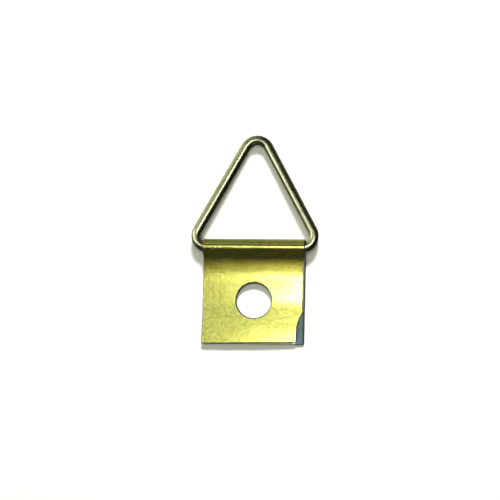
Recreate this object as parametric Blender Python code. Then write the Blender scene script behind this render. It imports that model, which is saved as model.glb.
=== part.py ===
"""Triangle picture hanger: a wire ring that swings in the barrel of a folded sheet strap.

The hanger lies on its back: +X to the right, +Y towards the ring's apex, +Z out of the front leaf.
Lengths are in metres.
"""
import math

import bmesh
import bpy
from mathutils import Vector

MM = 0.001

# Ring: one length of round wire bent into a triangle.
WIRE_DIAMETER = 1.2 * MM
RING_REACH = 14.49 * MM          # hinge axis to the outside of the apex
APEX_BEND_RADIUS = 1.67 * MM     # all bend radii are to the wire's centre line
BASE_BEND_RADIUS = 1.51 * MM
WIRE_END_GAP = 0.3 * MM          # between the two cut ends, in the middle of the base

# Strap: one strip of sheet folded round the ring's base.
SHEET_THICKNESS = 0.25 * MM
STRAP_WIDTH = 13.0 * MM
REAR_LEAF_EXTRA = 0.1 * MM       # how far the rear leaf shows past the front one
STEP_RADIUS = 0.9 * MM           # tight hollow at the foot of the barrel
RISE_RADIUS = 12.0 * MM          # wide hollow, by which the front leaf rises to the tight one
RISE_TURN = math.radians(16.0)
CORNER_RADIUS = 0.25 * MM
EDGE_BREAK = 0.05 * MM

# Screw hole through both leaves, punched from the front.
HOLE_DIAMETER = 4.5 * MM
HOLE_ROLL = 0.12 * MM            # rounding that the punch leaves on the front rim
HOLE_DISTANCE = 6.72 * MM        # hinge axis to the hole's middle
HOLE_EDGE_MARGIN = 3.19 * MM     # metal from the hole to the front leaf's free edge

# Relief along the front leaf's lower right edge: a straight foot, then a curve that flares out to the edge.
RELIEF_WIDTH = 0.9 * MM
RELIEF_FOOT = 1.5 * MM
RELIEF_CURVE = 2.6 * MM

# Clearances that tie the pieces together.
BARREL_PLAY = 0.2 * MM           # radial, wire in barrel
MOUTH_CLEARANCE = 0.08 * MM      # bent wire to the barrel's edge where it leaves the barrel
LEAF_GAP = 0.1 * MM              # between the two leaves

# Facets.
WIRE_SIDES = 32
BEND_STEPS = 20
BARREL_STEPS = 56
STEP_STEPS = 20
RISE_STEPS = 14
HOLE_SIDES = 72
ROLL_STEPS = 4
CORNER_STEPS = 5
RELIEF_STEPS = 16

# Finishes.
STRAP_COLOUR = (0.68, 0.64, 0.17, 1.0)
STRAP_ROUGHNESS = 0.36
RING_COLOUR = (0.56, 0.54, 0.25, 1.0)
RING_ROUGHNESS = 0.24
PLATING_METALLIC = 1.0

# Sizes that follow from those above.
WIRE_RADIUS = WIRE_DIAMETER / 2
BORE_RADIUS = WIRE_RADIUS + BARREL_PLAY
AXIS_HEIGHT = SHEET_THICKNESS + BORE_RADIUS
BARREL_MID_RADIUS = BORE_RADIUS + SHEET_THICKNESS / 2
STEP_MID_RADIUS = STEP_RADIUS + SHEET_THICKNESS / 2
RISE_MID_RADIUS = RISE_RADIUS + SHEET_THICKNESS / 2
REAR_MID_HEIGHT = SHEET_THICKNESS / 2
FRONT_MID_HEIGHT = REAR_MID_HEIGHT + SHEET_THICKNESS + LEAF_GAP
FRONT_FACE_HEIGHT = FRONT_MID_HEIGHT + SHEET_THICKNESS / 2
HALF_WIDTH = STRAP_WIDTH / 2
RISE_CENTRE_HEIGHT = FRONT_MID_HEIGHT + RISE_MID_RADIUS
RISE_CENTRES = RISE_MID_RADIUS - STEP_MID_RADIUS
STEP_CENTRE_HEIGHT = RISE_CENTRE_HEIGHT - RISE_CENTRES * math.cos(RISE_TURN)
BEND_CENTRES = BARREL_MID_RADIUS + STEP_MID_RADIUS
STEP_TURN = math.acos((STEP_CENTRE_HEIGHT - AXIS_HEIGHT) / BEND_CENTRES)
STEP_CENTRE_DISTANCE = BEND_CENTRES * math.sin(STEP_TURN)
RISE_FOOT = STEP_CENTRE_DISTANCE + RISE_CENTRES * math.sin(RISE_TURN)
HOLE_RADIUS = HOLE_DIAMETER / 2
FRONT_LEAF_LENGTH = HOLE_DISTANCE + HOLE_RADIUS + HOLE_EDGE_MARGIN
REAR_LEAF_LENGTH = FRONT_LEAF_LENGTH + REAR_LEAF_EXTRA
APEX_DISTANCE = RING_REACH - WIRE_RADIUS
REST_TILT = math.asin((AXIS_HEIGHT - WIRE_RADIUS) / APEX_DISTANCE)
AXIS_Y = (REAR_LEAF_LENGTH - APEX_DISTANCE * math.cos(REST_TILT) - WIRE_RADIUS) / 2
CUT_MARGIN = SHEET_THICKNESS     # how far cutters run past the metal
SIDE_FACING = 0.5                # faces turned further than this to the side are edges of the sheet


def clear_scene():
    for item in list(bpy.data.objects):
        bpy.data.objects.remove(item, do_unlink=True)


def plated_metal(name, colour, roughness):
    """Plated steel in the given colour."""
    material = bpy.data.materials.new(name)
    material.use_nodes = True
    shader = material.node_tree.nodes["Principled BSDF"]
    shader.inputs["Base Color"].default_value = colour
    shader.inputs["Roughness"].default_value = roughness
    shader.inputs["Metallic"].default_value = PLATING_METALLIC
    material.diffuse_color = colour
    return material


def new_object(name, mesh_builder, material=None):
    """A scene object from a filled bmesh, with its faces turned outwards."""
    bmesh.ops.recalc_face_normals(mesh_builder, faces=mesh_builder.faces)
    mesh = bpy.data.meshes.new(name)
    mesh_builder.to_mesh(mesh)
    mesh_builder.free()
    item = bpy.data.objects.new(name, mesh)
    bpy.context.scene.collection.objects.link(item)
    if material:
        mesh.materials.append(material)
    return item


def loft(sections):
    """A closed body through equal loops of points, with a flat face on the first and the last."""
    builder = bmesh.new()
    loops = [[builder.verts.new(point) for point in section] for section in sections]
    for near, far in zip(loops, loops[1:]):
        for index in range(len(near)):
            following = (index + 1) % len(near)
            builder.faces.new((near[index], near[following], far[following], far[index]))
    builder.faces.new(loops[0])
    builder.faces.new(loops[-1])
    return builder


def steps_between(start, end, count):
    return [start + (end - start) * index / count for index in range(count + 1)]


def base_bend_offset():
    """How far inside the barrel's mouth each base bend may start without touching the barrel."""
    inside_radius = BASE_BEND_RADIUS - WIRE_RADIUS
    reach = BASE_BEND_RADIUS - BORE_RADIUS + MOUTH_CLEARANCE
    return math.sqrt(max(inside_radius ** 2 - reach ** 2, 0.0))


def ring_centre_line():
    """Points and in-plane outward directions along the wire, from one cut end to the other."""
    base_x = HALF_WIDTH - base_bend_offset()
    apex_y = APEX_DISTANCE - APEX_BEND_RADIUS
    rise = apex_y - BASE_BEND_RADIUS
    difference = APEX_BEND_RADIUS - BASE_BEND_RADIUS
    side_angle = math.acos(difference / math.hypot(base_x, rise)) - math.atan2(rise, base_x)
    quarter = math.pi / 2
    bends = (
        (base_x, BASE_BEND_RADIUS, BASE_BEND_RADIUS, -quarter, side_angle),
        (0.0, apex_y, APEX_BEND_RADIUS, side_angle, math.pi - side_angle),
        (-base_x, BASE_BEND_RADIUS, BASE_BEND_RADIUS, math.pi - side_angle, math.pi + quarter),
    )
    down = Vector((0.0, -1.0, 0.0))
    half_gap = WIRE_END_GAP / 2
    stations = [(Vector((half_gap, 0.0, 0.0)), down), (Vector((half_gap + EDGE_BREAK, 0.0, 0.0)), down)]
    for centre_x, centre_y, radius, start, end in bends:
        for angle in steps_between(start, end, BEND_STEPS):
            outward = Vector((math.cos(angle), math.sin(angle), 0.0))
            stations.append((Vector((centre_x, centre_y, 0.0)) + radius * outward, outward))
    stations.append((Vector((-half_gap - EDGE_BREAK, 0.0, 0.0)), down))
    stations.append((Vector((-half_gap, 0.0, 0.0)), down))
    return stations


def make_ring(material):
    """Round wire along the triangle, its cut ends lightly chamfered; the origin is on the hinge axis."""
    stations = ring_centre_line()
    upward = Vector((0.0, 0.0, 1.0))
    sections = []
    for number, (point, outward) in enumerate(stations):
        at_cut_end = number in (0, len(stations) - 1)
        radius = WIRE_RADIUS - EDGE_BREAK if at_cut_end else WIRE_RADIUS
        section = []
        for side in range(WIRE_SIDES):
            angle = 2 * math.pi * side / WIRE_SIDES
            section.append(point + radius * (math.cos(angle) * outward + math.sin(angle) * upward))
        sections.append(section)
    ring = new_object("ring", loft(sections), material)
    ring.data.shade_smooth()
    return ring


def strap_path(end_trim):
    """Mid line of the folded sheet as (y, z, normal y, normal z), normals facing out of the fold."""
    upright = math.pi / 2
    leave = upright + STEP_TURN
    ease = upright + RISE_TURN
    hollows = (
        (STEP_CENTRE_DISTANCE, STEP_CENTRE_HEIGHT, STEP_MID_RADIUS, leave, ease, STEP_STEPS),
        (RISE_FOOT, RISE_CENTRE_HEIGHT, RISE_MID_RADIUS, ease, upright, RISE_STEPS),
    )
    path = [(end_trim - REAR_LEAF_LENGTH, REAR_MID_HEIGHT, 0.0, -1.0)]
    for angle in steps_between(-upright, leave, BARREL_STEPS):
        out_y = math.cos(angle)
        out_z = math.sin(angle)
        y = BARREL_MID_RADIUS * out_y
        z = AXIS_HEIGHT + BARREL_MID_RADIUS * out_z
        path.append((y, z, out_y, out_z))
    for centre_distance, centre_height, radius, start, end, count in hollows:
        for angle in steps_between(start, end, count)[1:]:
            out_y = math.cos(angle)
            out_z = math.sin(angle)
            y = -centre_distance - radius * out_y
            z = centre_height - radius * out_z
            path.append((y, z, out_y, out_z))
    path.append((end_trim - FRONT_LEAF_LENGTH, FRONT_MID_HEIGHT, 0.0, 1.0))
    return path


def strap_section(x, inset, end_trim):
    """Closed outline of the folded sheet at one x: out along the outside, back along the inside."""
    face_offset = SHEET_THICKNESS / 2 - inset
    edge_offset = SHEET_THICKNESS / 2 - EDGE_BREAK
    path = strap_path(end_trim + inset)
    rear_y, rear_z, _, rear_out = path[0]
    front_y, front_z, _, front_out = path[-1]
    stations = [(rear_y, rear_z, 0.0, rear_out, edge_offset)]
    stations.append((rear_y + EDGE_BREAK, rear_z, 0.0, rear_out, face_offset))
    stations.extend((*station, face_offset) for station in path[1:-1])
    stations.append((front_y + EDGE_BREAK, front_z, 0.0, front_out, face_offset))
    stations.append((front_y, front_z, 0.0, front_out, edge_offset))
    outside = [(x, y + offset * out_y, z + offset * out_z) for y, z, out_y, out_z, offset in stations]
    inside = [(x, y - offset * out_y, z - offset * out_z) for y, z, out_y, out_z, offset in stations]
    return outside + inside[::-1]


def strap_sections():
    """Outlines from the left edge to the right, with broken edges and rounded corners."""
    right_half = [(HALF_WIDTH, EDGE_BREAK, CORNER_RADIUS)]
    corner_start = math.asin(1 - EDGE_BREAK / CORNER_RADIUS)
    for angle in steps_between(corner_start, 0.0, CORNER_STEPS):
        x = HALF_WIDTH - CORNER_RADIUS * (1 - math.sin(angle))
        right_half.append((x, 0.0, CORNER_RADIUS * (1 - math.cos(angle))))
    left_half = [(-x, inset, end_trim) for x, inset, end_trim in right_half]
    return [strap_section(*station) for station in left_half + right_half[::-1]]


def make_cutter(name, builder):
    """A hidden wire-frame body that takes metal away."""
    cutter = new_object(name, builder)
    cutter.hide_render = True
    cutter.display_type = "WIRE"
    return cutter


def make_hole_cutter():
    """Punch: straight through both leaves, widening at the front face by the rolled rim."""
    profile = [(HOLE_RADIUS, -CUT_MARGIN)]
    for angle in steps_between(0.0, math.pi / 2, ROLL_STEPS):
        widening = HOLE_ROLL * (1 - math.cos(angle))
        height = FRONT_FACE_HEIGHT - HOLE_ROLL * (1 - math.sin(angle))
        profile.append((HOLE_RADIUS + widening, height))
    profile.append((HOLE_RADIUS + HOLE_ROLL, FRONT_FACE_HEIGHT + CUT_MARGIN))
    sections = []
    for ring_radius, height in profile:
        section = []
        for side in range(HOLE_SIDES):
            angle = 2 * math.pi * side / HOLE_SIDES
            x = ring_radius * math.cos(angle)
            y = ring_radius * math.sin(angle) - HOLE_DISTANCE
            section.append((x, y, height))
        sections.append(section)
    cutter = make_cutter("hole_cutter", loft(sections))
    cutter.data.shade_smooth()
    return cutter


def make_relief_cutter():
    """Body over the front leaf's lower right edge, bounded by the relief's curve."""
    free_edge = -FRONT_LEAF_LENGTH
    curve = [(HALF_WIDTH - RELIEF_WIDTH, free_edge - CUT_MARGIN)]
    for share in steps_between(0.0, 1.0, RELIEF_STEPS):
        x = HALF_WIDTH - RELIEF_WIDTH + (RELIEF_WIDTH + EDGE_BREAK) * share ** 2
        y = free_edge + RELIEF_FOOT + RELIEF_CURVE * share
        curve.append((x, y))
    outer_x = HALF_WIDTH + CUT_MARGIN
    outline = curve + [(outer_x, curve[-1][1]), (outer_x, curve[0][1])]
    between_leaves = SHEET_THICKNESS + LEAF_GAP / 2
    above = FRONT_FACE_HEIGHT + CUT_MARGIN
    sections = [[(x, y, height) for x, y in outline] for height in (between_leaves, above)]
    return make_cutter("relief_cutter", loft(sections))


def make_strap(material):
    """Folded strip with its hole and relief; the origin is on the back plane under the hinge axis."""
    strap = new_object("strap", loft(strap_sections()), material)
    for face in strap.data.polygons:
        face.use_smooth = face.center.y > -RISE_FOOT and abs(face.normal.x) < SIDE_FACING
    for cutter in (make_hole_cutter(), make_relief_cutter()):
        cut = strap.modifiers.new(cutter.name, "BOOLEAN")
        cut.operation = "DIFFERENCE"
        cut.solver = "EXACT"
        cut.object = cutter
        cutter.parent = strap
    return strap


def build_hanger():
    clear_scene()
    strap = make_strap(plated_metal("strap_plating", STRAP_COLOUR, STRAP_ROUGHNESS))
    strap.location = (0.0, AXIS_Y, 0.0)
    hinge = bpy.data.objects.new("ring_hinge", None)
    bpy.context.scene.collection.objects.link(hinge)
    hinge.parent = strap
    hinge.location = (0.0, 0.0, AXIS_HEIGHT)
    ring = make_ring(plated_metal("ring_plating", RING_COLOUR, RING_ROUGHNESS))
    ring.parent = hinge
    ring.rotation_euler = (-REST_TILT, 0.0, 0.0)


build_hanger()
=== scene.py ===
import math

import bmesh
import bpy
from mathutils import Matrix, Vector
from mathutils.geometry import delaunay_2d_cdt


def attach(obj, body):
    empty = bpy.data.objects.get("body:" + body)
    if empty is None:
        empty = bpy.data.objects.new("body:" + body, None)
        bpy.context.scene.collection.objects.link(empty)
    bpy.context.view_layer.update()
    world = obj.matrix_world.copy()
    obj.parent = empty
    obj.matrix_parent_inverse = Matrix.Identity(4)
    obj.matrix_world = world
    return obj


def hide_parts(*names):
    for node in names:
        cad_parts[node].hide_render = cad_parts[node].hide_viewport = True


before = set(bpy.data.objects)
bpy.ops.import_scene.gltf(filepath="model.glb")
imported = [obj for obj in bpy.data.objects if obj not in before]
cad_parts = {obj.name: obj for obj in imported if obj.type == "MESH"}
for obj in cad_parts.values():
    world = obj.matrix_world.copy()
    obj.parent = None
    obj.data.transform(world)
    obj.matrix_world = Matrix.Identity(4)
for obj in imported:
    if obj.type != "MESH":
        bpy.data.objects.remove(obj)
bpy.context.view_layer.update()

# Sizes of the hanger, in metres, as in the part's source.
MM = 0.001
WIRE_RADIUS = 0.6 * MM
RING_REACH = 14.49 * MM
APEX_BEND_RADIUS = 1.67 * MM
BASE_BEND_RADIUS = 1.51 * MM
WIRE_END_GAP = 0.3 * MM
SHEET_THICKNESS = 0.25 * MM
STRAP_WIDTH = 13.0 * MM
REAR_LEAF_EXTRA = 0.1 * MM
STEP_RADIUS = 0.9 * MM
RISE_RADIUS = 12.0 * MM
RISE_TURN = math.radians(16.0)
CORNER_RADIUS = 0.25 * MM
HOLE_RADIUS = 2.25 * MM
HOLE_DISTANCE = 6.72 * MM
HOLE_EDGE_MARGIN = 3.19 * MM
RELIEF_WIDTH = 0.9 * MM
RELIEF_FOOT = 1.5 * MM
RELIEF_CURVE = 2.6 * MM
BARREL_PLAY = 0.2 * MM
MOUTH_CLEARANCE = 0.08 * MM
LEAF_GAP = 0.1 * MM
SHEET_SKIN = 0.001 * MM           # keeps the smooth bends inside the faceted solid

BORE_RADIUS = WIRE_RADIUS + BARREL_PLAY
AXIS_HEIGHT = SHEET_THICKNESS + BORE_RADIUS
BARREL_MID_RADIUS = BORE_RADIUS + SHEET_THICKNESS / 2
STEP_MID_RADIUS = STEP_RADIUS + SHEET_THICKNESS / 2
RISE_MID_RADIUS = RISE_RADIUS + SHEET_THICKNESS / 2
HALF_SHEET = SHEET_THICKNESS / 2 - SHEET_SKIN
HALF_WIDTH = STRAP_WIDTH / 2
FRONT_MID_HEIGHT = 1.5 * SHEET_THICKNESS + LEAF_GAP
RISE_CENTRE_HEIGHT = FRONT_MID_HEIGHT + RISE_MID_RADIUS
RISE_CENTRES = RISE_MID_RADIUS - STEP_MID_RADIUS
STEP_CENTRE_HEIGHT = RISE_CENTRE_HEIGHT - RISE_CENTRES * math.cos(RISE_TURN)
BEND_CENTRES = BARREL_MID_RADIUS + STEP_MID_RADIUS
STEP_TURN = math.acos((STEP_CENTRE_HEIGHT - AXIS_HEIGHT) / BEND_CENTRES)
STEP_CENTRE_DISTANCE = BEND_CENTRES * math.sin(STEP_TURN)
RISE_FOOT = STEP_CENTRE_DISTANCE + RISE_CENTRES * math.sin(RISE_TURN)
FRONT_LEAF_LENGTH = HOLE_DISTANCE + HOLE_RADIUS + HOLE_EDGE_MARGIN
REAR_LEAF_LENGTH = FRONT_LEAF_LENGTH + REAR_LEAF_EXTRA
APEX_DISTANCE = RING_REACH - WIRE_RADIUS
REST_TILT = math.asin((AXIS_HEIGHT - WIRE_RADIUS) / APEX_DISTANCE)
AXIS_Y = (REAR_LEAF_LENGTH - APEX_DISTANCE * math.cos(REST_TILT) - WIRE_RADIUS) / 2

# Lengths along the flat strip, from the rear leaf's free end to the front leaf's.
BARREL_ARC = BARREL_MID_RADIUS * (math.pi + STEP_TURN)
STEP_START = REAR_LEAF_LENGTH + BARREL_ARC
RISE_START = STEP_START + STEP_MID_RADIUS * (STEP_TURN - RISE_TURN)
FRONT_LEAF_START = RISE_START + RISE_MID_RADIUS * RISE_TURN
STRIP_LENGTH = FRONT_LEAF_START + FRONT_LEAF_LENGTH - RISE_FOOT
REAR_HOLE = REAR_LEAF_LENGTH - HOLE_DISTANCE
FRONT_HOLE = FRONT_LEAF_START + HOLE_DISTANCE - RISE_FOOT

# Sheared and punched edges: rolled over on the outside of the fold, nearly sharp on the inside.
EDGE_ROLL = 0.06 * MM
HOLE_ROLL = 0.12 * MM
INSIDE_BREAK = 0.03 * MM
FLAT_MARGIN = 0.03 * MM
# The front leaf's wider right roll and the rear leaf's right break take the dark edge colour, so
# they show as painted shade along the right edges.
RIGHT_ROLL = 0.35 * MM            # the shears pulled the front leaf's right edge down further
RIGHT_ROLL_DEPTH = 0.12 * MM
REAR_RIGHT_BREAK = 0.22 * MM      # the same edge of the rear leaf, on its inside face
RIGHT_ROLL_REACH = 0.25 * MM      # how far in from the edge that wider roll fades away
RIGHT_ROLL_RUN = 1.0 * MM         # how far along the edge it takes to come in
ZINC_DEPTH = 1.5 * INSIDE_BREAK   # how far up the edges the zinc of the inside shows
# Within this margin the rear leaf's inside face is also painted dark, as a painted shadow of the
# front leaf.
YELLOW_AND_SHADOW_MARGIN = 0.4 * MM          # how far the yellow coat runs round the rear leaf's free end

# How much of an edge a point of the mesh is: 1 on a cut or roll, and on the rear leaf's inside end
# strip, where it paints the front leaf's shadow; less beside it.
BESIDE_EDGE = 0.8
EDGE_FADE = 0.35 * MM
BEND_WEAR = 0.45

# The front leaf springs: its crown, and its turns, each as start and end below the rise's foot and
# the slope gained.
LEAF_CROWN = 0.09 * MM
LEAF_CROWN_LEVEL = 1.0
LEAF_SLOPES = ((-0.54 * MM, 0.0, -0.044), (1.6 * MM, 2.8 * MM, 0.074), (5.2 * MM, 7.0 * MM, -0.032))
LEAF_SKEW = 0.09 * MM             # how far the leaf's free end leans to the left of the rear leaf
END_SLANT = 0.15 * MM             # how far each half of the free end is cut out of square
END_LEVEL = 0.4                   # share of the half width, to the left, where that cut is level

# Wire: cut ends as depth and share of the radius, and how far the bends are pressed flat.
CUT_END_ROUNDING = ((0.0, 0.55), (0.02 * MM, 0.82), (0.05 * MM, 0.94), (0.1 * MM, 1.0))
BEND_FLATTENING = 0.03

# Mesh pitches.
BEND_PITCH = math.radians(4.0)
RISE_PITCH = math.radians(1.2)
LEAF_PITCH = 0.45 * MM
LEAF_GRID_MARGIN = 0.3 * LEAF_PITCH
RELIEF_PITCH = 0.12 * MM
ROLL_STEPS = 6
BREAK_STEPS = 2
CORNER_STEPS = 8
HOLE_SIDES = 96
WIRE_SIDES = 56
WIRE_BASE_STEPS = 8
WIRE_BEND_STEPS = 40
WIRE_ARM_STEPS = 30
FLAT_TOLERANCE = 1e-6             # millimetres
SLIVER = 1e-5                     # square millimetres: smaller triangles lie on a straight edge

# Colours of the metals.
WIRE_THIN = (0.52, 0.54, 0.34, 1.0)
WIRE_FULL = (0.66, 0.68, 0.40, 1.0)
WIRE_DIRT = (0.16, 0.16, 0.09, 1.0)
WIRE_BARE = (0.62, 0.62, 0.52, 1.0)
YELLOW_THIN = (0.765, 0.77, 0.155, 1.0)
YELLOW_FULL = (0.835, 0.83, 0.176, 1.0)
YELLOW_DIRT = (0.5, 0.5, 0.13, 1.0)
YELLOW_BARE = (0.86, 0.85, 0.42, 1.0)
GREY_ZINC_THIN = (0.13, 0.21, 0.19, 1.0)
GREY_ZINC_FULL = (0.155, 0.245, 0.225, 1.0)
BLUE_ZINC_THIN = (0.13, 0.23, 0.28, 1.0)
BLUE_ZINC_FULL = (0.155, 0.265, 0.345, 1.0)
# Colours of the cut edges and rolls: partly the dull raw metal of the cut, darkened as painted
# shade for edges turned away from the light, and nearly black on the inside face.
SHADED_EDGE_OUTSIDE = (0.29, 0.28, 0.18, 1.0)
SHADED_EDGE_INSIDE = (0.06, 0.07, 0.08, 1.0)
BLUE_ZINC_REACH = (0.6 * MM, 2.2 * MM)   # from the rear leaf's free end, where blue turns to grey

# Roughness of the metals, and heights of their marks.
WIRE_ROUGHNESS = (0.2, 0.28)
WIRE_SPECKLE_ROUGHNESS = 0.06
YELLOW_ROUGHNESS = (0.215, 0.185)
ROLLED_ROUGHNESS = 0.05
ZINC_ROUGHNESS = (0.43, 0.5)
RAW_EDGE_ROUGHNESS = 0.45
YELLOW_GLOSS_IOR = 1.7
YELLOW_GLOSS_ROUGHNESS = 0.17
DRAWN_HEIGHT = 0.0003 * MM
WIRE_SPECKLE_HEIGHT = 0.0006 * MM
ROLLED_HEIGHT = 0.00014 * MM
YELLOW_SPECKLE_HEIGHT = 0.0005 * MM

# Detail of the noise, and ranges of noise and of edge, that make each effect.
CLOUD_DETAIL = 4.0
CLOUD_RANGE = (0.34, 0.66)
SPECKLE_DETAIL = 2.0
SPECKLE_RANGE = (0.3, 0.7)
SPECKLE_SPARED = 0.6              # share of the speckle's shade that is blue's alone
LINE_RANGE = (0.3, 0.7)
PATCH_DETAIL = 3.0
BARE_RANGE = (0.42, 0.62)
GRIME_RANGE = (0.45, 0.75)
SHEARED_SHADE_RANGE = (0.84, 0.98)

# Camera.
CAMERA_DISTANCE = 250.0 * MM
CAMERA_TILT_DOWN = math.radians(6.85)
CAMERA_TILT_RIGHT = math.radians(7.6)
CAMERA_ROLL = math.radians(1.33)
CAMERA_TARGET = Vector((-0.586 * MM, -1.436 * MM, 0.8 * MM))
PIXEL_SIZE = 0.1271 * MM
IMAGE_WIDTH = 500
SENSOR_WIDTH = 36.0
NEAREST_SEEN = 10.0 * MM

# Floor of white card.
FLOOR_SIZE = 1.6
FLOOR_PANES = 8
FLOOR_DROP = 0.02 * MM
CARD_LOW = (0.885, 0.885, 0.885, 1.0)
CARD_HIGH = (0.915, 0.915, 0.912, 1.0)
CARD_ROUGHNESS = (0.86, 0.94)
FIBRE_SIZE = 0.6                  # millimetres
FIBRE_DETAIL = 4.0
FIBRE_RANGE = (0.3, 0.7)
FIBRE_HEIGHT = 0.002 * MM

# Lights: name, direction, distance, width, height, radiance and colour.
WHITE = (1.0, 1.0, 1.0)
FLOOR_LIGHTS = (
    ("key", (0.14, 1.34, 1.0), 0.45, 0.1, 0.07, 135.0, WHITE),
    ("fill", (0.0, 0.1, 1.0), 0.5, 0.3, 0.3, 4.0, (1.0, 1.0, 0.8)),
)
REFLECTED_PANELS = (
    ("overhead", (-0.22, 0.17, 1.0), 0.4, 0.08, 0.18, 0.68, WHITE),
    ("bright_panel", (-0.015, -0.025, 1.0), 0.4, 0.054, 0.062, 11.5, WHITE),
    ("low_panel", (-0.03, -0.235, 1.0), 0.4, 0.048, 0.076, 2.0, (1.0, 0.84, 0.45)),
    ("right_panel", (0.36, -0.12, 1.0), 0.4, 0.17, 0.1, 6.5, WHITE),
    ("left_panel", (-0.45, -0.06, 1.0), 0.4, 0.08, 0.08, 4.0, WHITE),
    ("back_panel", (-0.13, 0.85, 1.0), 0.4, 0.1, 0.05, 0.8, WHITE),
    ("left_card", (-1.0, 0.1, 0.78), 0.4, 0.25, 0.25, 2.3, WHITE),
)

# Pale places of the dim room: direction and strength.
ROOM_GLOWS = (
    ((-0.7, 0.7, 0.15), 0.44),    # wall behind, on the left
    ((0.4, 0.7, -0.55), 0.16),    # table beyond, on the right
    ((-0.1, -0.9, 0.3), 0.036),   # room in front
    ((-0.78, 0.6, -0.6), 0.62),   # table beside, on the left
)
GLOW_RANGE = (0.6, 1.0)
DIM_ROOM = 0.006
ROOM_COLOUR = (1.0, 1.0, 0.97, 1.0)


def spread(start, end, count):
    """Evenly spaced values from start to end, both included."""
    return [start + (end - start) * index / count for index in range(count + 1)]


def paced(start, end, pitch):
    """Evenly spaced values from start to end, about a pitch apart."""
    return spread(start, end, max(1, round((end - start) / pitch)))


def held(share):
    """Share held between 0 and 1."""
    return max(0.0, min(1.0, share))


# Ring: the wire is drawn straight, bent at three corners, and closed inside the barrel.

def wire_stations():
    """Stations along the wire: centre, outward direction, run so far and how sharply bent."""
    inside_radius = BASE_BEND_RADIUS - WIRE_RADIUS
    mouth_reach = BASE_BEND_RADIUS - BORE_RADIUS + MOUTH_CLEARANCE
    base_x = HALF_WIDTH - math.sqrt(inside_radius ** 2 - mouth_reach ** 2)
    apex_y = APEX_DISTANCE - APEX_BEND_RADIUS
    rise = apex_y - BASE_BEND_RADIUS
    side_angle = math.acos((APEX_BEND_RADIUS - BASE_BEND_RADIUS) / math.hypot(base_x, rise))
    side_angle -= math.atan2(rise, base_x)
    quarter = math.pi / 2
    bends = (
        (base_x, BASE_BEND_RADIUS, BASE_BEND_RADIUS, -quarter, side_angle),
        (0.0, apex_y, APEX_BEND_RADIUS, side_angle, math.pi - side_angle),
        (-base_x, BASE_BEND_RADIUS, BASE_BEND_RADIUS, math.pi - side_angle, math.pi + quarter),
    )
    down = Vector((0.0, -1.0, 0.0))
    cut = WIRE_END_GAP / 2
    line = []
    for share in spread(0.0, 1.0, WIRE_BASE_STEPS)[:-1]:
        line.append((Vector((cut + (base_x - cut) * share, 0.0, 0.0)), down, 0.0))
    for number, (centre_x, centre_y, radius, start, end) in enumerate(bends):
        for share in spread(0.0, 1.0, WIRE_BEND_STEPS):
            angle = start + (end - start) * share
            outward = Vector((math.cos(angle), math.sin(angle), 0.0))
            bent = math.sin(math.pi * share) ** 0.5 if 0.0 < share < 1.0 else 0.0
            line.append((Vector((centre_x, centre_y, 0.0)) + radius * outward, outward, bent))
        if number < len(bends) - 1:
            next_x, next_y, next_radius, next_start, _ = bends[number + 1]
            outward = Vector((math.cos(next_start), math.sin(next_start), 0.0))
            arm_end = Vector((next_x, next_y, 0.0)) + next_radius * outward
            arm_start = line[-1][0]
            for share in spread(0.0, 1.0, WIRE_ARM_STEPS)[1:-1]:
                line.append((arm_start.lerp(arm_end, share), outward, 0.0))
    for share in spread(1.0, 0.0, WIRE_BASE_STEPS)[1:]:
        line.append((Vector((-cut - (base_x - cut) * share, 0.0, 0.0)), down, 0.0))
    stations = []
    run = 0.0
    for number, (point, outward, bent) in enumerate(line):
        if number:
            run += (point - line[number - 1][0]).length
        stations.append((point, outward, run, bent))
    return stations


def bend_ring_wire():
    """Mesh of the wire, with domed cut ends and the outside of each bend pressed slightly flat."""
    stations = wire_stations()
    upward = Vector((0.0, 0.0, 1.0))
    builder = bmesh.new()
    stock_layer = builder.verts.layers.float_vector.new("stock")
    edge_layer = builder.verts.layers.float.new("edge")
    loops = []

    def add_loop(point, outward, run, bent, radius, edge):
        """Points round the wire at one station."""
        loop = []
        for side in range(WIRE_SIDES):
            angle = 2 * math.pi * side / WIRE_SIDES
            flat = 1.0 - BEND_FLATTENING * bent * max(0.0, math.cos(angle)) ** 2
            along = radius * flat * math.cos(angle)
            above = radius * math.sin(angle)
            vert = builder.verts.new(point + along * outward + above * upward)
            round_wire = (WIRE_RADIUS * math.cos(angle), WIRE_RADIUS * math.sin(angle))
            vert[stock_layer] = Vector((run, *round_wire))
            vert[edge_layer] = edge
            loop.append(vert)
        loops.append(loop)

    def add_end(station, direction, order):
        """Domed cut end; direction is into the wire, and order -1 works towards the cut."""
        point, outward, run, bent = station
        for depth, share in CUT_END_ROUNDING[::order]:
            add_loop(point + direction * depth, outward, run, bent, WIRE_RADIUS * share, 1.0)

    add_end(stations[0], Vector((1.0, 0.0, 0.0)), 1)
    for point, outward, run, bent in stations[1:-1]:
        add_loop(point, outward, run, bent, WIRE_RADIUS, BEND_WEAR * bent)
    add_end(stations[-1], Vector((-1.0, 0.0, 0.0)), -1)
    for near, far in zip(loops, loops[1:]):
        for side in range(WIRE_SIDES):
            following = (side + 1) % WIRE_SIDES
            builder.faces.new((near[side], near[following], far[following], far[side]))
    builder.faces.new(loops[0])
    builder.faces.new(loops[-1])
    place = Matrix.Translation((0.0, AXIS_Y, AXIS_HEIGHT)) @ Matrix.Rotation(-REST_TILT, 4, "X")
    builder.transform(place)
    return finished_piece("ring_wire", builder)


# Strap: a blank is sheared and punched flat, then folded round the ring's base.

def leaf_spring(along, across):
    """How far the front leaf stands off its flat place: crowned across, hollow along its length."""
    below = along - FRONT_LEAF_START
    crown = LEAF_CROWN * (LEAF_CROWN_LEVEL - (across / HALF_WIDTH) ** 2)
    hollow = 0.0
    for start, end, slope in LEAF_SLOPES:
        reach = held((below - start) / (end - start))
        hollow += slope * ((end - start) * reach * reach / 2 + max(0.0, below - end))
    share = held((along - RISE_START) / (FRONT_HOLE - RISE_START))
    return crown * share * share * (3 - 2 * share) + hollow


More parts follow.
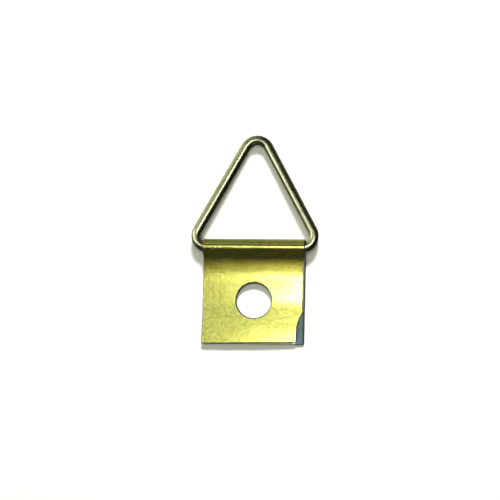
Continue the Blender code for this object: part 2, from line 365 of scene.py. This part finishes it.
def folded(along, across, out):
    """Where a point of the flat strip goes in the fold; out is measured from the sheet's middle."""
    if along > RISE_START:
        out += leaf_spring(along, across)
    if along <= REAR_LEAF_LENGTH:
        y = along - REAR_LEAF_LENGTH
        z = SHEET_THICKNESS / 2 - out
    elif along <= STEP_START:
        angle = (along - REAR_LEAF_LENGTH) / BARREL_MID_RADIUS - math.pi / 2
        y = (BARREL_MID_RADIUS + out) * math.cos(angle)
        z = AXIS_HEIGHT + (BARREL_MID_RADIUS + out) * math.sin(angle)
    elif along <= RISE_START:
        angle = math.pi / 2 + STEP_TURN - (along - STEP_START) / STEP_MID_RADIUS
        y = -STEP_CENTRE_DISTANCE - (STEP_MID_RADIUS - out) * math.cos(angle)
        z = STEP_CENTRE_HEIGHT - (STEP_MID_RADIUS - out) * math.sin(angle)
    elif along <= FRONT_LEAF_START:
        angle = math.pi / 2 + RISE_TURN - (along - RISE_START) / RISE_MID_RADIUS
        y = -RISE_FOOT - (RISE_MID_RADIUS - out) * math.cos(angle)
        z = RISE_CENTRE_HEIGHT - (RISE_MID_RADIUS - out) * math.sin(angle)
    else:
        y = -RISE_FOOT - (along - FRONT_LEAF_START)
        z = FRONT_MID_HEIGHT + out
    return Vector((across, AXIS_Y + y, z))


def strip_rows():
    """Stations along the strip: wide apart on the leaves, close on the bends."""
    rows = paced(CORNER_RADIUS, REAR_LEAF_LENGTH, LEAF_PITCH)
    rows += paced(REAR_LEAF_LENGTH, STEP_START, BEND_PITCH * BARREL_MID_RADIUS)[1:]
    rows += paced(STEP_START, RISE_START, BEND_PITCH * STEP_MID_RADIUS)[1:]
    rows += paced(RISE_START, FRONT_LEAF_START, RISE_PITCH * RISE_MID_RADIUS)[1:]
    rows += paced(FRONT_LEAF_START, STRIP_LENGTH - CORNER_RADIUS, LEAF_PITCH)[1:]
    return rows


def corner_arc(centre_along, centre_across, start):
    """Quarter turn of a rounded corner, from the angle start."""
    points = []
    for angle in spread(start, start + math.pi / 2, CORNER_STEPS):
        along = centre_along + CORNER_RADIUS * math.cos(angle)
        across = centre_across + CORNER_RADIUS * math.sin(angle)
        points.append((along, across))
    return points


def skewed(along, across):
    """Point of the outline, moved where the front leaf was sheared a little out of square."""
    share = max(0.0, (along - RISE_START) / (STRIP_LENGTH - RISE_START))
    slant = END_SLANT * share ** 2 * (across / HALF_WIDTH + END_LEVEL)
    return along - slant, across - LEAF_SKEW * share


def blank_outline():
    """Outline of the flat strip as (along, across), with the relief at the front leaf's right."""
    rows = strip_rows()
    relief_start = STRIP_LENGTH - RELIEF_FOOT - RELIEF_CURVE
    relief_end = STRIP_LENGTH - RELIEF_FOOT
    foot_across = HALF_WIDTH - RELIEF_WIDTH
    near = CORNER_RADIUS
    far = STRIP_LENGTH - CORNER_RADIUS
    rear_columns = paced(-HALF_WIDTH + CORNER_RADIUS, HALF_WIDTH - CORNER_RADIUS, LEAF_PITCH)
    front_columns = paced(-HALF_WIDTH + CORNER_RADIUS, foot_across - CORNER_RADIUS, LEAF_PITCH)
    outline = corner_arc(near, -HALF_WIDTH + CORNER_RADIUS, -math.pi)[::-1]
    outline = outline[:-1] + [(0.0, across) for across in rear_columns]
    outline = [(row, -HALF_WIDTH) for row in rows[::-1] if near < row < far] + outline
    outline += corner_arc(near, HALF_WIDTH - CORNER_RADIUS, math.pi / 2)[::-1][1:-1]
    outline += [(row, HALF_WIDTH) for row in rows if row < relief_start - RELIEF_PITCH / 2]
    for along in paced(relief_start, relief_end, RELIEF_PITCH):
        share = (relief_end - along) / RELIEF_CURVE
        outline.append((along, foot_across + RELIEF_WIDTH * share ** 2))
    outline += [(row, foot_across) for row in rows if relief_end + RELIEF_PITCH / 2 < row < far]
    outline += corner_arc(far, foot_across - CORNER_RADIUS, 0.0)[::-1]
    outline += [(STRIP_LENGTH, across) for across in front_columns[::-1][1:-1]]
    outline += corner_arc(far, -HALF_WIDTH + CORNER_RADIUS, -math.pi / 2)[::-1]
    return [skewed(along, across) for along, across in outline]


def signed_area(loop):
    """Area of a flat loop, positive where it runs with its inside on its left."""
    total = 0.0
    for (a, b), (c, d) in zip(loop, loop[1:] + loop[:1]):
        total += a * d - b * c
    return total / 2


def sheared_loops():
    """Outline and holes of the flat strip, each with the metal on its left, and each one's roll."""
    outline = blank_outline()
    if signed_area(outline) < 0:
        outline.reverse()
    loops = [(outline, EDGE_ROLL)]
    for hole in (REAR_HOLE, FRONT_HOLE):
        circle = []
        for side in range(HOLE_SIDES):
            angle = -2 * math.pi * side / HOLE_SIDES
            circle.append((hole + HOLE_RADIUS * math.cos(angle), HOLE_RADIUS * math.sin(angle)))
        loops.append((circle, HOLE_ROLL))
    return loops


def inward_normals(loop):
    """Unit directions into the metal at each point of a loop with the metal on its left."""
    normals = []
    for index in range(len(loop)):
        before = Vector(loop[index - 1])
        after = Vector(loop[(index + 1) % len(loop)])
        run = (after - before).normalized()
        normals.append(Vector((-run.y, run.x)))
    return normals


def right_edge_shares(along, across):
    """How much a point of the outline is on the front leaf's and the rear leaf's right edge."""
    beside = held((across - HALF_WIDTH + RIGHT_ROLL_REACH) / RIGHT_ROLL_REACH)
    front = held((along - RISE_START) / RIGHT_ROLL_RUN)
    rear = held((REAR_HOLE - along) / RIGHT_ROLL_RUN)
    return beside * front, beside * rear


def edge_profile(roll, depth, inside_break):
    """Section of a sheared edge as (inset, out), from the outside face round to the inside face."""
    profile = [(roll + FLAT_MARGIN, HALF_SHEET)]
    for angle in spread(math.pi / 2, 0.0, ROLL_STEPS):
        profile.append((roll * (1 - math.cos(angle)), HALF_SHEET - depth * (1 - math.sin(angle))))
    for angle in spread(0.0, math.pi / 2, BREAK_STEPS):
        inset = inside_break * (1 - math.cos(angle))
        profile.append((inset, -HALF_SHEET + INSIDE_BREAK * (1 - math.sin(angle))))
    profile.append((inside_break + FLAT_MARGIN, -HALF_SHEET))
    return profile


def edge_profiles(loop, roll):
    """Section of the edge at each point of a loop."""
    profiles = []
    for along, across in loop:
        front, rear = right_edge_shares(along, across)
        profiles.append(edge_profile(
            roll + front * (RIGHT_ROLL - roll), roll + front * (RIGHT_ROLL_DEPTH - roll),
            INSIDE_BREAK + rear * (REAR_RIGHT_BREAK - INSIDE_BREAK),
        ))
    return profiles


def inside_loop(point, loop):
    """Whether a flat point lies inside a closed loop."""
    along, across = point
    within = False
    for (a, b), (c, d) in zip(loop, loop[1:] + loop[:1]):
        if (b > across) != (d > across) and along < a + (across - b) * (c - a) / (d - b):
            within = not within
    return within


def on_flat(point, bounds):
    """Whether a flat point lies on the metal: inside the outline and in no hole."""
    outline, *holes = bounds
    return inside_loop(point, outline) and not any(inside_loop(point, hole) for hole in holes)


def gap_to_loop(point, loop):
    """Distance from a flat point to the nearest stretch of a closed loop."""
    spot = Vector(point)
    nearest = math.inf
    for first, second in zip(loop, loop[1:] + loop[:1]):
        start = Vector(first)
        stretch = Vector(second) - start
        share = held((spot - start).dot(stretch) / stretch.length_squared)
        nearest = min(nearest, (spot - start - share * stretch).length)
    return nearest


def leaf_grid(bounds):
    """Points on the flats, clear of the edges, each with its gap to the nearest edge."""
    edge = HALF_WIDTH - EDGE_ROLL - FLAT_MARGIN
    columns = paced(-HALF_WIDTH + EDGE_ROLL + FLAT_MARGIN, edge, LEAF_PITCH)
    grid = []
    for along in strip_rows():
        for across in columns[1:-1]:
            point = (along, across)
            if not on_flat(point, bounds):
                continue
            gap = min(gap_to_loop(point, loop) for loop in bounds)
            if gap > LEAF_GRID_MARGIN:
                grid.append((point, gap))
    return grid


def flat_triangles(bounds, grid):
    """Triangles that fill the flats, as numbers of the bounds' points and then of the grid's."""
    corners = []
    ties = []
    for loop in bounds:
        first = len(corners)
        corners += [Vector(point) / MM for point in loop]
        ties += [(first + index, first + (index + 1) % len(loop)) for index in range(len(loop))]
    corners += [Vector(point) / MM for point, _ in grid]
    flat_points, _, triangles, sources = delaunay_2d_cdt(corners, ties, [], 0, FLAT_TOLERANCE)[:4]
    chosen = []
    for triangle in triangles:
        if abs(signed_area([tuple(flat_points[index]) for index in triangle])) < SLIVER:
            continue
        middle = sum((flat_points[index] for index in triangle), Vector((0.0, 0.0))) / 3 * MM
        if on_flat(middle, bounds):
            chosen.append([sources[index][0] for index in triangle])
    return chosen


def fold_strap_sheet():
    """Mesh of the folded strip, with rolled edges, its two holes and the relief."""
    builder = bmesh.new()
    stock_layer = builder.verts.layers.float_vector.new("stock")
    edge_layer = builder.verts.layers.float.new("edge")
    inside_layer = builder.verts.layers.float.new("inside")

    def add_point(along, across, out, edge):
        """Point of the folded sheet, with its place on the flat strip and what shows there."""
        vert = builder.verts.new(folded(along, across, out))
        vert[stock_layer] = Vector((across, along, out))
        coated = along < YELLOW_AND_SHADOW_MARGIN and across < HALF_WIDTH - RELIEF_WIDTH - YELLOW_AND_SHADOW_MARGIN
        # The inside face of that strip counts as edge, which paints it dark: a painted shadow of
        # the front leaf.
        vert[edge_layer] = 1.0 if coated and out < 0 else edge
        vert[inside_layer] = 0.0 if coated or out > ZINC_DEPTH - HALF_SHEET else 1.0
        return vert

    bounds = []
    face_rows = []
    for loop, roll in sheared_loops():
        normals = inward_normals(loop)
        profiles = edge_profiles(loop, roll)
        last = len(profiles[0]) - 1
        rows = []
        for number in range(last + 1):
            edge = BESIDE_EDGE if number in (0, last) else 1.0
            row = []
            for point, normal, profile in zip(loop, normals, profiles):
                inset, out = profile[number]
                spot = Vector(point) + inset * normal
                row.append(add_point(spot.x, spot.y, out, edge))
            rows.append(row)
        for upper, lower in zip(rows, rows[1:]):
            for index in range(len(loop)):
                following = (index + 1) % len(loop)
                builder.faces.new((upper[index], upper[following], lower[following], lower[index]))
        bounds.append([
            tuple(Vector(point) + profile[0][0] * normal)
            for point, normal, profile in zip(loop, normals, profiles)
        ])
        face_rows.append((rows[0], rows[-1]))

    grid = leaf_grid(bounds)
    triangles = flat_triangles(bounds, grid)
    for outside in (True, False):
        verts = []
        for upper, lower in face_rows:
            verts += upper if outside else lower
        out = HALF_SHEET if outside else -HALF_SHEET
        for (along, across), gap in grid:
            verts.append(add_point(along, across, out, BESIDE_EDGE * math.exp(-gap / EDGE_FADE)))
        for triangle in triangles:
            chosen = [verts[index] for index in triangle]
            builder.faces.new(chosen if outside else chosen[::-1])
    return finished_piece("strap_sheet", builder)


def finished_piece(name, builder):
    """Scene object from a filled bmesh, smooth, with its faces turned outwards."""
    bmesh.ops.recalc_face_normals(builder, faces=builder.faces)
    mesh = bpy.data.meshes.new(name)
    builder.to_mesh(mesh)
    builder.free()
    mesh.shade_smooth()
    piece = bpy.data.objects.new(name, mesh)
    bpy.context.scene.collection.objects.link(piece)
    level = piece.modifiers.new("level_faces", "WEIGHTED_NORMAL")
    level.keep_sharp = True
    return piece


# Finishes.

SOCKETS = {"value": "NodeSocketFloat", "colour": "NodeSocketColor", "vector": "NodeSocketVector"}
MIX_FIRST, MIX_SECOND, MIX_RESULT = 6, 7, 2    # the colour sockets of a mix node


def add_node(tree, kind, properties=(), **inputs):
    """A shader node with its properties set, and its inputs set or linked by name."""
    item = tree.nodes.new(kind)
    for key, value in dict(properties).items():
        setattr(item, key, value)
    for key, value in inputs.items():
        feed(tree, item.inputs[key], value)
    return item


def feed(tree, socket, value):
    """Links a socket to the input, or sets the input's value."""
    if isinstance(value, bpy.types.NodeSocket):
        tree.links.new(value, socket)
    else:
        socket.default_value = value


def calculate(tree, operation, first, second=0.0):
    """Result of a math node on two values."""
    item = add_node(tree, "ShaderNodeMath", {"operation": operation})
    feed(tree, item.inputs[0], first)
    feed(tree, item.inputs[1], second)
    return item.outputs[0]


def remap(tree, value, low, high, new_low=0.0, new_high=1.0):
    """Value carried from one range to another, held at its ends."""
    item = add_node(tree, "ShaderNodeMapRange", {"clamp": True, "interpolation_type": "SMOOTHSTEP"})
    for index, given in enumerate((value, low, high, new_low, new_high)):
        feed(tree, item.inputs[index], given)
    return item.outputs[0]


def blend_colour(tree, share, first, second, way="MIX"):
    """Mix of two colours."""
    item = add_node(tree, "ShaderNodeMix", {"data_type": "RGBA", "blend_type": way})
    feed(tree, item.inputs[0], share)
    feed(tree, item.inputs[MIX_FIRST], first)
    feed(tree, item.inputs[MIX_SECOND], second)
    return item.outputs[MIX_RESULT]


def grain(tree, stock, size, detail):
    """Noise over the stock, with features of about that many millimetres."""
    scale = calculate(tree, "DIVIDE", 1.0 / MM, size)
    place = add_node(tree, "ShaderNodeVectorMath", {"operation": "SCALE"})
    feed(tree, place.inputs[0], stock)
    feed(tree, place.inputs["Scale"], scale)
    noise = add_node(tree, "ShaderNodeTexNoise", Scale=1.0, Detail=detail, Roughness=0.55)
    tree.links.new(place.outputs[0], noise.inputs["Vector"])
    return noise.outputs[0]


def start_group(name, inputs, outputs):
    """Empty node group with named inputs and outputs, each given as its kind."""
    group = bpy.data.node_groups.new(name, "ShaderNodeTree")
    for key, kind in inputs.items():
        group.interface.new_socket(name=key, in_out="INPUT", socket_type=SOCKETS[kind])
    for key, kind in outputs.items():
        group.interface.new_socket(name=key, in_out="OUTPUT", socket_type=SOCKETS[kind])
    entry = group.nodes.new("NodeGroupInput")
    leave = group.nodes.new("NodeGroupOutput")
    return group, entry.outputs, leave.inputs


def make_mottled_coat():
    """Plating that is thin in some clouds and full in others, with fine speckle over it."""
    group, given, result = start_group(
        "mottled_coat",
        {"Stock": "vector", "Cloud Size": "value", "Speckle Size": "value",
         "Speckle Depth": "value", "Thin Coat": "colour", "Full Coat": "colour"},
        {"Colour": "colour", "Cloud": "value", "Speckle": "value"},
    )
    clouds = grain(group, given["Stock"], given["Cloud Size"], CLOUD_DETAIL)
    cloud = remap(group, clouds, *CLOUD_RANGE)
    speckles = grain(group, given["Stock"], given["Speckle Size"], SPECKLE_DETAIL)
    speckle = remap(group, speckles, *SPECKLE_RANGE)
    colour = blend_colour(group, cloud, given["Thin Coat"], given["Full Coat"])
    shade = calculate(group, "MULTIPLY", speckle, given["Speckle Depth"])
    yellow = calculate(group, "SUBTRACT", 1.0, shade)
    light = calculate(group, "ADD", yellow, calculate(group, "MULTIPLY", shade, SPECKLE_SPARED))
    tint = add_node(group, "ShaderNodeCombineColor", Red=light, Green=light, Blue=yellow)
    colour = blend_colour(group, 1.0, colour, tint.outputs[0], "MULTIPLY")
    for key, value in (("Colour", colour), ("Cloud", cloud), ("Speckle", speckle)):
        group.links.new(value, result[key])
    return group


def make_tool_lines():
    """Fine lines left by rolling or drawing; Line Scale is how many lie in a metre each way."""
    group, given, result = start_group(
        "tool_lines", {"Stock": "vector", "Line Scale": "vector"}, {"Lines": "value"}
    )
    place = add_node(group, "ShaderNodeVectorMath", {"operation": "MULTIPLY"})
    group.links.new(given["Stock"], place.inputs[0])
    group.links.new(given["Line Scale"], place.inputs[1])
    noise = add_node(group, "ShaderNodeTexNoise", Scale=1.0, Detail=3.0, Roughness=0.6)
    group.links.new(place.outputs[0], noise.inputs["Vector"])
    group.links.new(remap(group, noise.outputs[0], *LINE_RANGE), result["Lines"])
    return group


def make_edge_wear():
    """Where the coat is rubbed through along edges, and where dirt stays beside them."""
    group, given, result = start_group(
        "edge_wear",
        {"Stock": "vector", "Edge": "value", "Patch Size": "value"},
        {"Bare": "value", "Grime": "value"},
    )
    patches = grain(group, given["Stock"], given["Patch Size"], PATCH_DETAIL)
    worn = calculate(group, "MULTIPLY", given["Edge"], patches)
    group.links.new(remap(group, worn, *BARE_RANGE), result["Bare"])
    kept = calculate(group, "SUBTRACT", 1.0, patches)
    kept = calculate(group, "MULTIPLY", given["Edge"], kept)
    group.links.new(remap(group, kept, *GRIME_RANGE), result["Grime"])
    return group


def place_group(tree, group, **inputs):
    """A node group in a material, with its inputs set or linked by name."""
    item = tree.nodes.new("ShaderNodeGroup")
    item.node_tree = group
    for key, value in inputs.items():
        feed(tree, item.inputs[key.replace("_", " ")], value)
    return item.outputs


def start_finish(name):
    """A metal material with its shader and the piece's own stock and edge values."""
    material = bpy.data.materials.new(name)
    material.use_nodes = True
    tree = material.node_tree
    shader = tree.nodes["Principled BSDF"]
    shader.inputs["Metallic"].default_value = 1.0
    stock = add_node(tree, "ShaderNodeAttribute", {"attribute_name": "stock"}).outputs["Vector"]
    edge = add_node(tree, "ShaderNodeAttribute", {"attribute_name": "edge"}).outputs["Fac"]
    return material, tree, shader, stock, edge


def raise_surface(tree, shader, heights):
    """Bump from several heights, each with its depth in metres."""
    normal = None
    for height, depth in heights:
        bump = add_node(tree, "ShaderNodeBump", Strength=1.0, Distance=depth)
        tree.links.new(height, bump.inputs["Height"])
        if normal:
            tree.links.new(normal, bump.inputs["Normal"])
        normal = bump.outputs["Normal"]
    tree.links.new(normal, shader.inputs["Normal"])


def make_ring_finish(coat, lines, wear):
    """Drawn wire under a thin pale yellow coat."""
    material, tree, shader, stock, edge = start_finish("ring_finish")
    coated = place_group(
        tree, coat, Stock=stock, Cloud_Size=2.2, Speckle_Size=0.3, Speckle_Depth=0.22,
        Thin_Coat=WIRE_THIN, Full_Coat=WIRE_FULL,
    )
    drawn = place_group(tree, lines, Stock=stock, Line_Scale=(250.0, 14000.0, 14000.0))["Lines"]
    rubbed = place_group(tree, wear, Stock=stock, Edge=edge, Patch_Size=0.5)
    colour = blend_colour(tree, rubbed["Grime"], coated["Colour"], WIRE_DIRT)
    colour = blend_colour(tree, rubbed["Bare"], colour, WIRE_BARE)
    tree.links.new(colour, shader.inputs["Base Color"])
    rough = remap(tree, drawn, 0.0, 1.0, *WIRE_ROUGHNESS)
    speckle_rough = calculate(tree, "MULTIPLY", coated["Speckle"], WIRE_SPECKLE_ROUGHNESS)
    tree.links.new(calculate(tree, "ADD", rough, speckle_rough), shader.inputs["Roughness"])
    heights = ((drawn, DRAWN_HEIGHT), (coated["Speckle"], WIRE_SPECKLE_HEIGHT))
    raise_surface(tree, shader, heights)
    return material


def make_strap_finish(coat, lines, wear):
    """Rolled sheet: yellow coat outside the fold, blue-grey zinc inside, and cut edges and rolls
    painted dark, as painted shade over their dull raw metal.
    """
    material, tree, shader, stock, edge = start_finish("strap_finish")
    inside = add_node(tree, "ShaderNodeAttribute", {"attribute_name": "inside"}).outputs["Fac"]
    # This mask covers the cut edges and rolls, where the colour is painted shade.
    sheared = remap(tree, edge, *SHEARED_SHADE_RANGE)
    glossy = calculate(tree, "SUBTRACT", 1.0, calculate(tree, "MAXIMUM", inside, sheared))
    tree.links.new(glossy, shader.inputs["Coat Weight"])
    shader.inputs["Coat IOR"].default_value = YELLOW_GLOSS_IOR
    shader.inputs["Coat Roughness"].default_value = YELLOW_GLOSS_ROUGHNESS
    yellow = place_group(
        tree, coat, Stock=stock, Cloud_Size=2.6, Speckle_Size=0.26, Speckle_Depth=0.6,
        Thin_Coat=YELLOW_THIN, Full_Coat=YELLOW_FULL,
    )
    along = add_node(tree, "ShaderNodeSeparateXYZ", Vector=stock).outputs["Y"]
    blue = remap(tree, along, *BLUE_ZINC_REACH, 1.0, 0.0)
    zinc = place_group(
        tree, coat, Stock=stock, Cloud_Size=1.6, Speckle_Size=0.4, Speckle_Depth=0.25,
        Thin_Coat=blend_colour(tree, blue, GREY_ZINC_THIN, BLUE_ZINC_THIN),
        Full_Coat=blend_colour(tree, blue, GREY_ZINC_FULL, BLUE_ZINC_FULL),
    )
    rolled = place_group(tree, lines, Stock=stock, Line_Scale=(9000.0, 180.0, 9000.0))["Lines"]
    rubbed = place_group(tree, wear, Stock=stock, Edge=edge, Patch_Size=0.6)
    colour = blend_colour(tree, rubbed["Grime"], yellow["Colour"], YELLOW_DIRT)
    colour = blend_colour(tree, rubbed["Bare"], colour, YELLOW_BARE)
    colour = blend_colour(tree, inside, colour, zinc["Colour"])
    # Painted shade on edges and rolls; on the rear leaf's inside end strip, a painted shadow of the
    # front leaf.
    shaded_edge = blend_colour(tree, inside, SHADED_EDGE_OUTSIDE, SHADED_EDGE_INSIDE)
    colour = blend_colour(tree, sheared, colour, shaded_edge)
    tree.links.new(colour, shader.inputs["Base Color"])
    rough = remap(tree, yellow["Cloud"], 0.0, 1.0, *YELLOW_ROUGHNESS)
    rough = calculate(tree, "ADD", rough, calculate(tree, "MULTIPLY", rolled, ROLLED_ROUGHNESS))
    zinc_rough = remap(tree, zinc["Cloud"], 0.0, 1.0, *ZINC_ROUGHNESS)
    rough = calculate(tree, "MAXIMUM", rough, calculate(tree, "MULTIPLY", inside, zinc_rough))
    edge_rough = calculate(tree, "MULTIPLY", sheared, RAW_EDGE_ROUGHNESS)
    rough = calculate(tree, "MAXIMUM", rough, edge_rough)
    tree.links.new(rough, shader.inputs["Roughness"])
    heights = ((rolled, ROLLED_HEIGHT), (yellow["Speckle"], YELLOW_SPECKLE_HEIGHT))
    raise_surface(tree, shader, heights)
    return material


# Stage.

def lay_floor():
    """Plain white card under the hanger."""
    builder = bmesh.new()
    bmesh.ops.create_grid(
        builder, x_segments=FLOOR_PANES, y_segments=FLOOR_PANES, size=FLOOR_SIZE / 2
    )
    mesh = bpy.data.meshes.new("floor_card")
    builder.to_mesh(mesh)
    builder.free()
    floor = bpy.data.objects.new("floor_card", mesh)
    floor.location = (0.0, 0.0, -FLOOR_DROP)
    bpy.context.scene.collection.objects.link(floor)
    material = bpy.data.materials.new("white_card")
    material.use_nodes = True
    tree = material.node_tree
    shader = tree.nodes["Principled BSDF"]
    place = add_node(tree, "ShaderNodeTexCoord").outputs["Object"]
    fibres = grain(tree, place, FIBRE_SIZE, FIBRE_DETAIL)
    shade = blend_colour(tree, fibres, CARD_LOW, CARD_HIGH)
    tree.links.new(shade, shader.inputs["Base Color"])
    tree.links.new(remap(tree, fibres, *FIBRE_RANGE, *CARD_ROUGHNESS), shader.inputs["Roughness"])
    raise_surface(tree, shader, ((fibres, FIBRE_HEIGHT),))
    mesh.materials.append(material)
    floor.visible_glossy = False


def hang_light(name, direction, distance, width, height, radiance, colour):
    """Rectangular studio light that faces the hanger from a direction."""
    light = bpy.data.lights.new(name, "AREA")
    light.shape = "RECTANGLE"
    light.size = width
    light.size_y = height
    light.energy = radiance * math.pi * width * height
    light.color = colour
    lamp = bpy.data.objects.new(name, light)
    aim = Vector(direction).normalized()
    lamp.location = aim * distance
    lamp.rotation_euler = aim.to_track_quat("Z", "Y").to_euler()
    lamp.visible_camera = False
    bpy.context.scene.collection.objects.link(lamp)
    return lamp


def light_studio():
    """Lights for the floor and its shadows, and panels that only the metal shows."""
    for values in FLOOR_LIGHTS:
        hang_light(*values).visible_glossy = False
    for values in REFLECTED_PANELS:
        hang_light(*values).visible_diffuse = False


def set_camera():
    """Camera nearly straight above, a little towards the lower right."""
    toward = Vector((
        math.sin(CAMERA_TILT_RIGHT) * math.cos(CAMERA_TILT_DOWN),
        -math.sin(CAMERA_TILT_DOWN),
        math.cos(CAMERA_TILT_RIGHT) * math.cos(CAMERA_TILT_DOWN),
    )).normalized()
    right = Vector((0.0, 1.0, 0.0)).cross(toward).normalized()
    up = toward.cross(right)
    turn = Matrix.Rotation(CAMERA_ROLL, 3, toward)
    right = turn @ right
    up = turn @ up
    data = bpy.data.cameras.new("camera")
    data.sensor_width = SENSOR_WIDTH
    data.sensor_fit = "HORIZONTAL"
    data.lens = CAMERA_DISTANCE / (PIXEL_SIZE * IMAGE_WIDTH) * SENSOR_WIDTH
    data.clip_start = NEAREST_SEEN
    camera = bpy.data.objects.new("camera", data)
    place = Matrix((right, up, toward)).transposed().to_4x4()
    place.translation = CAMERA_TARGET + CAMERA_DISTANCE * toward
    camera.matrix_world = place
    bpy.context.scene.collection.objects.link(camera)
    bpy.context.scene.camera = camera


def light_room():
    """Dim room round the stage, with its few pale places."""
    world = bpy.data.worlds.new("room")
    world.use_nodes = True
    tree = world.node_tree
    background = tree.nodes["Background"]
    heading = add_node(tree, "ShaderNodeTexCoord").outputs["Generated"]
    glow = DIM_ROOM
    for direction, strength in ROOM_GLOWS:
        toward = add_node(tree, "ShaderNodeVectorMath", {"operation": "DOT_PRODUCT"})
        feed(tree, toward.inputs[0], heading)
        feed(tree, toward.inputs[1], Vector(direction).normalized())
        pale = remap(tree, toward.outputs["Value"], *GLOW_RANGE, 0.0, strength)
        glow = calculate(tree, "ADD", pale, glow)
    tree.links.new(glow, background.inputs["Strength"])
    background.inputs["Color"].default_value = ROOM_COLOUR
    bpy.context.scene.world = world


set_camera()
mottled_coat = make_mottled_coat()
tool_lines = make_tool_lines()
edge_wear = make_edge_wear()

ring_wire = bend_ring_wire()
ring_wire.data.materials.append(make_ring_finish(mottled_coat, tool_lines, edge_wear))
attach(ring_wire, "ring")
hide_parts("ring")

strap_sheet = fold_strap_sheet()
strap_sheet.data.materials.append(make_strap_finish(mottled_coat, tool_lines, edge_wear))
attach(strap_sheet, "strap")
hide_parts("strap")

lay_floor()
light_room()
light_studio()
bpy.context.scene.view_settings.view_transform = "Standard"
